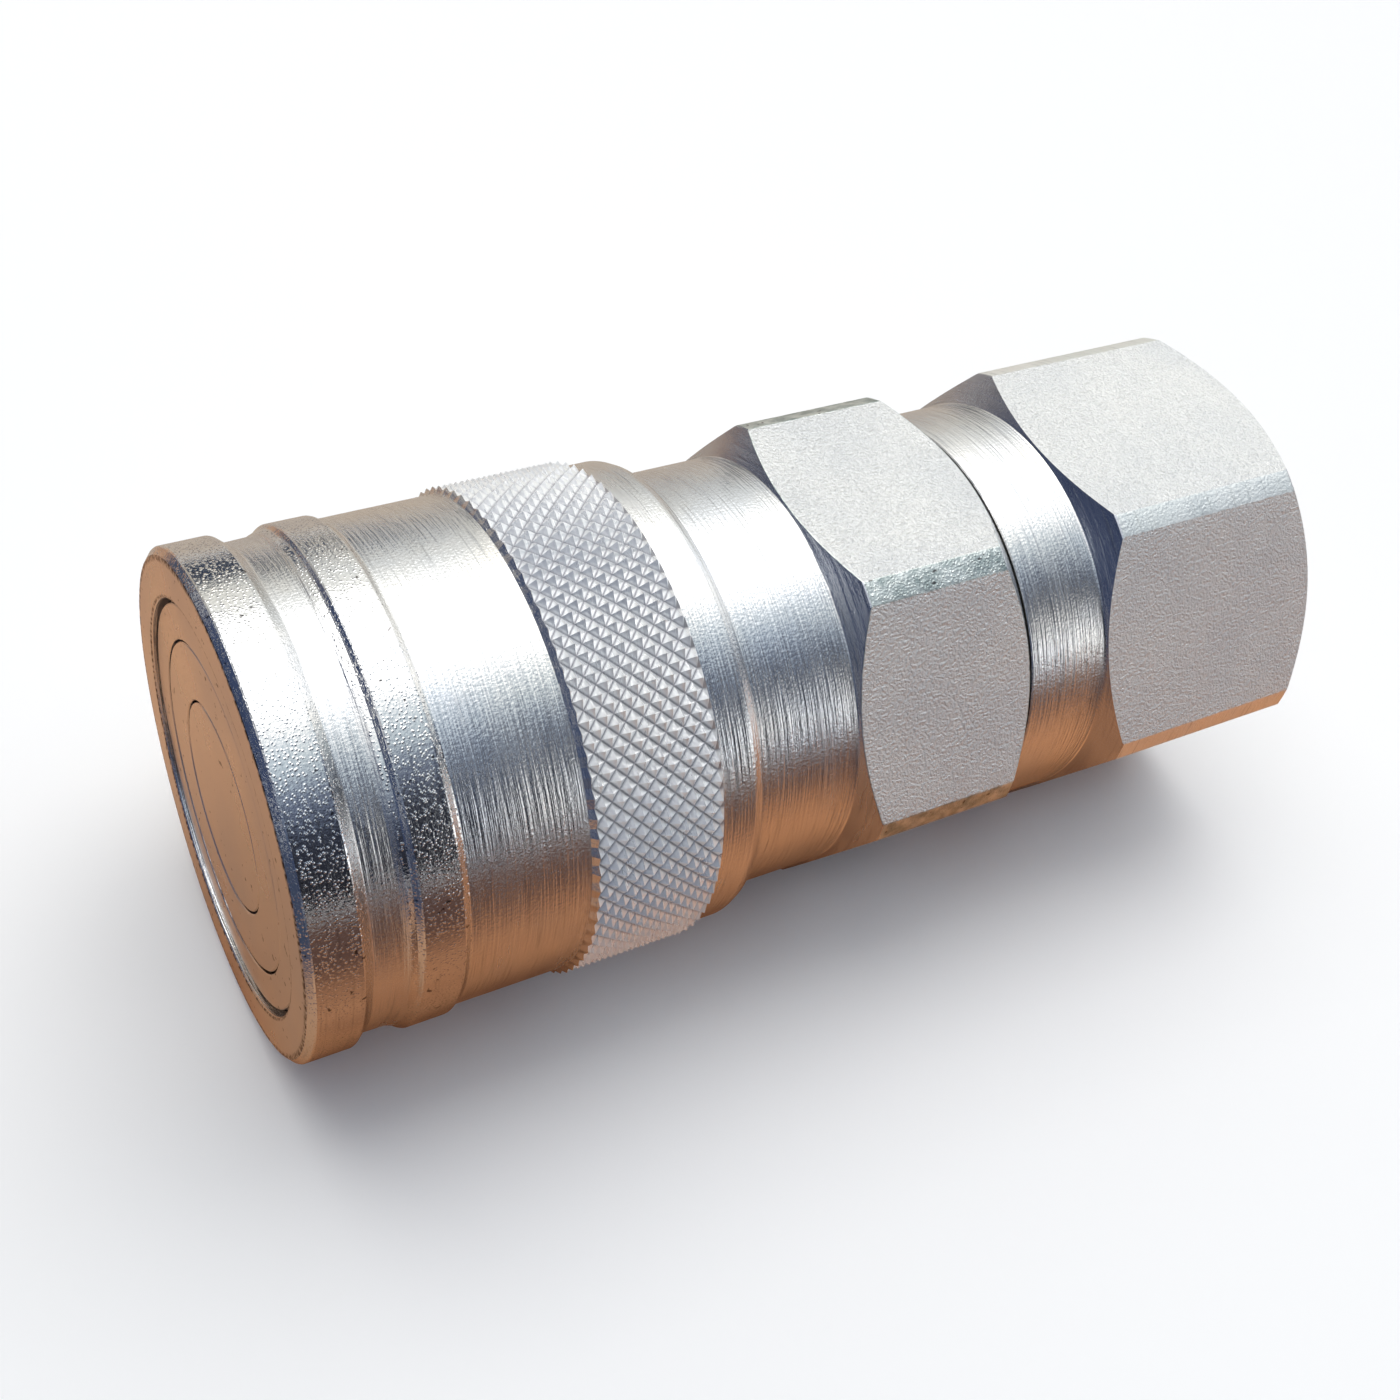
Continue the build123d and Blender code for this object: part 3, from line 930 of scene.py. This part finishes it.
bpy.ops.mesh.primitive_plane_add(size=CARD_SIZE, location=(0, 0, FLOOR + CARD_LIFT * MM))
card = scenery("warm_card", table_top())
unseen(card, "camera", "diffuse", "shadow")
bpy.ops.mesh.primitive_plane_add(size=1, location=FLAG_AT, rotation=(math.pi / 2, 0, 0))
flag = scenery("dark_flag", plain("flag_cloth", FLAG_COLOUR, 1.0))
flag.scale = FLAG_SCALE
unseen(flag, "camera", "diffuse", "shadow")
print("card", CARD_SIZE, "m wide, flag at", FLAG_AT)

# %% [markdown]
# ## Lamps
# A broad light above and behind gives the bright top. A weak low strip in front on the right lifts
# the lower flats and leaves the dark band at mid height dark.

# %% Lamps
def lamp(name, place, aim, width, height, power, colour):
    light = bpy.data.lights.new(name, "AREA")
    light.shape = "RECTANGLE"
    light.size = width
    light.size_y = height
    light.energy = power
    light.color = colour
    holder = bpy.data.objects.new(name, light)
    bpy.context.scene.collection.objects.link(holder)
    holder.location = place
    holder.rotation_euler = (Vector(aim) - Vector(place)).to_track_quat("-Z", "Y").to_euler()
    print(name, power, "W")


lamp("top_light", (0.05, 0.25, 0.8), (0.045, 0, 0), 0.9, 0.7, 2.8, (1.0, 0.99, 0.97))
lamp("low_strip", (0.35, -0.30, 0.055), (0.06, 0, 0), 0.2, 0.06, 0.05, (1.0, 0.99, 0.98))

# %% [markdown]
# ## The room
# The room is a band of tones round the X axis, because that is how a turned piece mirrors it: a
# grey far wall, a white ceiling, and a dark near side. A colour ramp over the angle round X gives
# this. The band leans with X, the low near side glows pale to the right, and everything to the
# left, in front of the flat face, is navy.

# %% Room tones
ROOM = (
    (-110, (0.44, 0.36, 0.29)), (-88, (0.46, 0.42, 0.37)), (-70, (0.58, 0.57, 0.54)),
    (-52, (0.90, 0.91, 0.88)), (-35, (1.28, 1.28, 1.26)), (8, (1.3, 1.32, 1.35)),
    (27, (0.62, 0.72, 0.80)), (45, (0.15, 0.18, 0.26)), (60, (0.025, 0.028, 0.042)),
    (95, (0.012, 0.011, 0.014)))
SHIFT = math.radians(4)
LEAN = math.radians(25)
GLOW_RIGHT = (0.34, 0.5)
GLOW_ANGLE = (math.radians(50), math.radians(68))
GLOW_COLOUR = (0.76, 0.79, 0.83)
NAVY_LEFT = (-0.25, -0.75)
NAVY = (0.05, 0.07, 0.14)
world = bpy.data.worlds.new("room")
world.use_nodes = True
tree = world.node_tree
background = tree.nodes["Background"]
direction = tree.nodes.new("ShaderNodeTexCoord")
split = tree.nodes.new("ShaderNodeSeparateXYZ")
tree.links.new(direction.outputs["Generated"], split.inputs["Vector"])
toward_viewer = sum_up(tree, "MULTIPLY", split.outputs["Y"], -1.0)
angle = sum_up(tree, "ARCTAN2", toward_viewer, split.outputs["Z"])
leaning = sum_up(tree, "ADD", sum_up(tree, "MULTIPLY", split.outputs["X"], LEAN), angle)
turn_share = spread(tree, leaning, SHIFT - math.pi, SHIFT + math.pi, 0, 1)

# %% Room colours
ramp = tree.nodes.new("ShaderNodeValToRGB")
ramp.color_ramp.interpolation = "EASE"
while len(ramp.color_ramp.elements) < len(ROOM):
    ramp.color_ramp.elements.new(0.5)
for stop, (degrees, colour) in zip(ramp.color_ramp.elements, ROOM):
    stop.position = (degrees + 180) / 360
    stop.color = colour + (1,)
tree.links.new(turn_share, ramp.inputs["Fac"])
rightward = spread(tree, split.outputs["X"], *GLOW_RIGHT, 0, 1)
low_side = spread(tree, angle, *GLOW_ANGLE, 0, 1)
side_glow = sum_up(tree, "MULTIPLY", rightward, low_side)
room_tone = blend_colours(tree, side_glow, ramp.outputs["Color"], GLOW_COLOUR)
leftward = spread(tree, split.outputs["X"], *NAVY_LEFT, 0, 1)
room_tone = blend_colours(tree, leftward, room_tone, NAVY)
tree.links.new(room_tone, background.inputs["Color"])
background.inputs["Strength"].default_value = 1.0
bpy.context.scene.world = world
bpy.context.scene.view_settings.view_transform = "Standard"
print("room tones", len(ROOM))

# %% [markdown]
# ## Camera
# The coupler is seen from its front left and above, with the camera rolled a little, so that its
# axis rises to the right. Its place and its two axes are written out, and the third axis follows
# from them.

# %% Camera
LENS = 46.08
SENSOR = 36
NEAREST = 0.005
EYE = Vector((-21.476, -77.894, 104.314)) * MM
RIGHT = Vector((0.8725, -0.4598, 0.1650))
UP = Vector((0.2505, 0.7111, 0.6570))
BACK = RIGHT.cross(UP)
UP = BACK.cross(RIGHT)
camera_data = bpy.data.cameras.new("camera")
camera_data.lens = LENS
camera_data.sensor_width = SENSOR
camera_data.clip_start = NEAREST
camera = bpy.data.objects.new("camera", camera_data)
bpy.context.scene.collection.objects.link(camera)
turned_axes = Matrix((RIGHT.normalized(), UP.normalized(), BACK.normalized())).transposed()
camera.matrix_world = Matrix.Translation(EYE) @ turned_axes.to_4x4()
bpy.context.scene.camera = camera
print("camera", round(EYE.length, 3), "m from the origin")
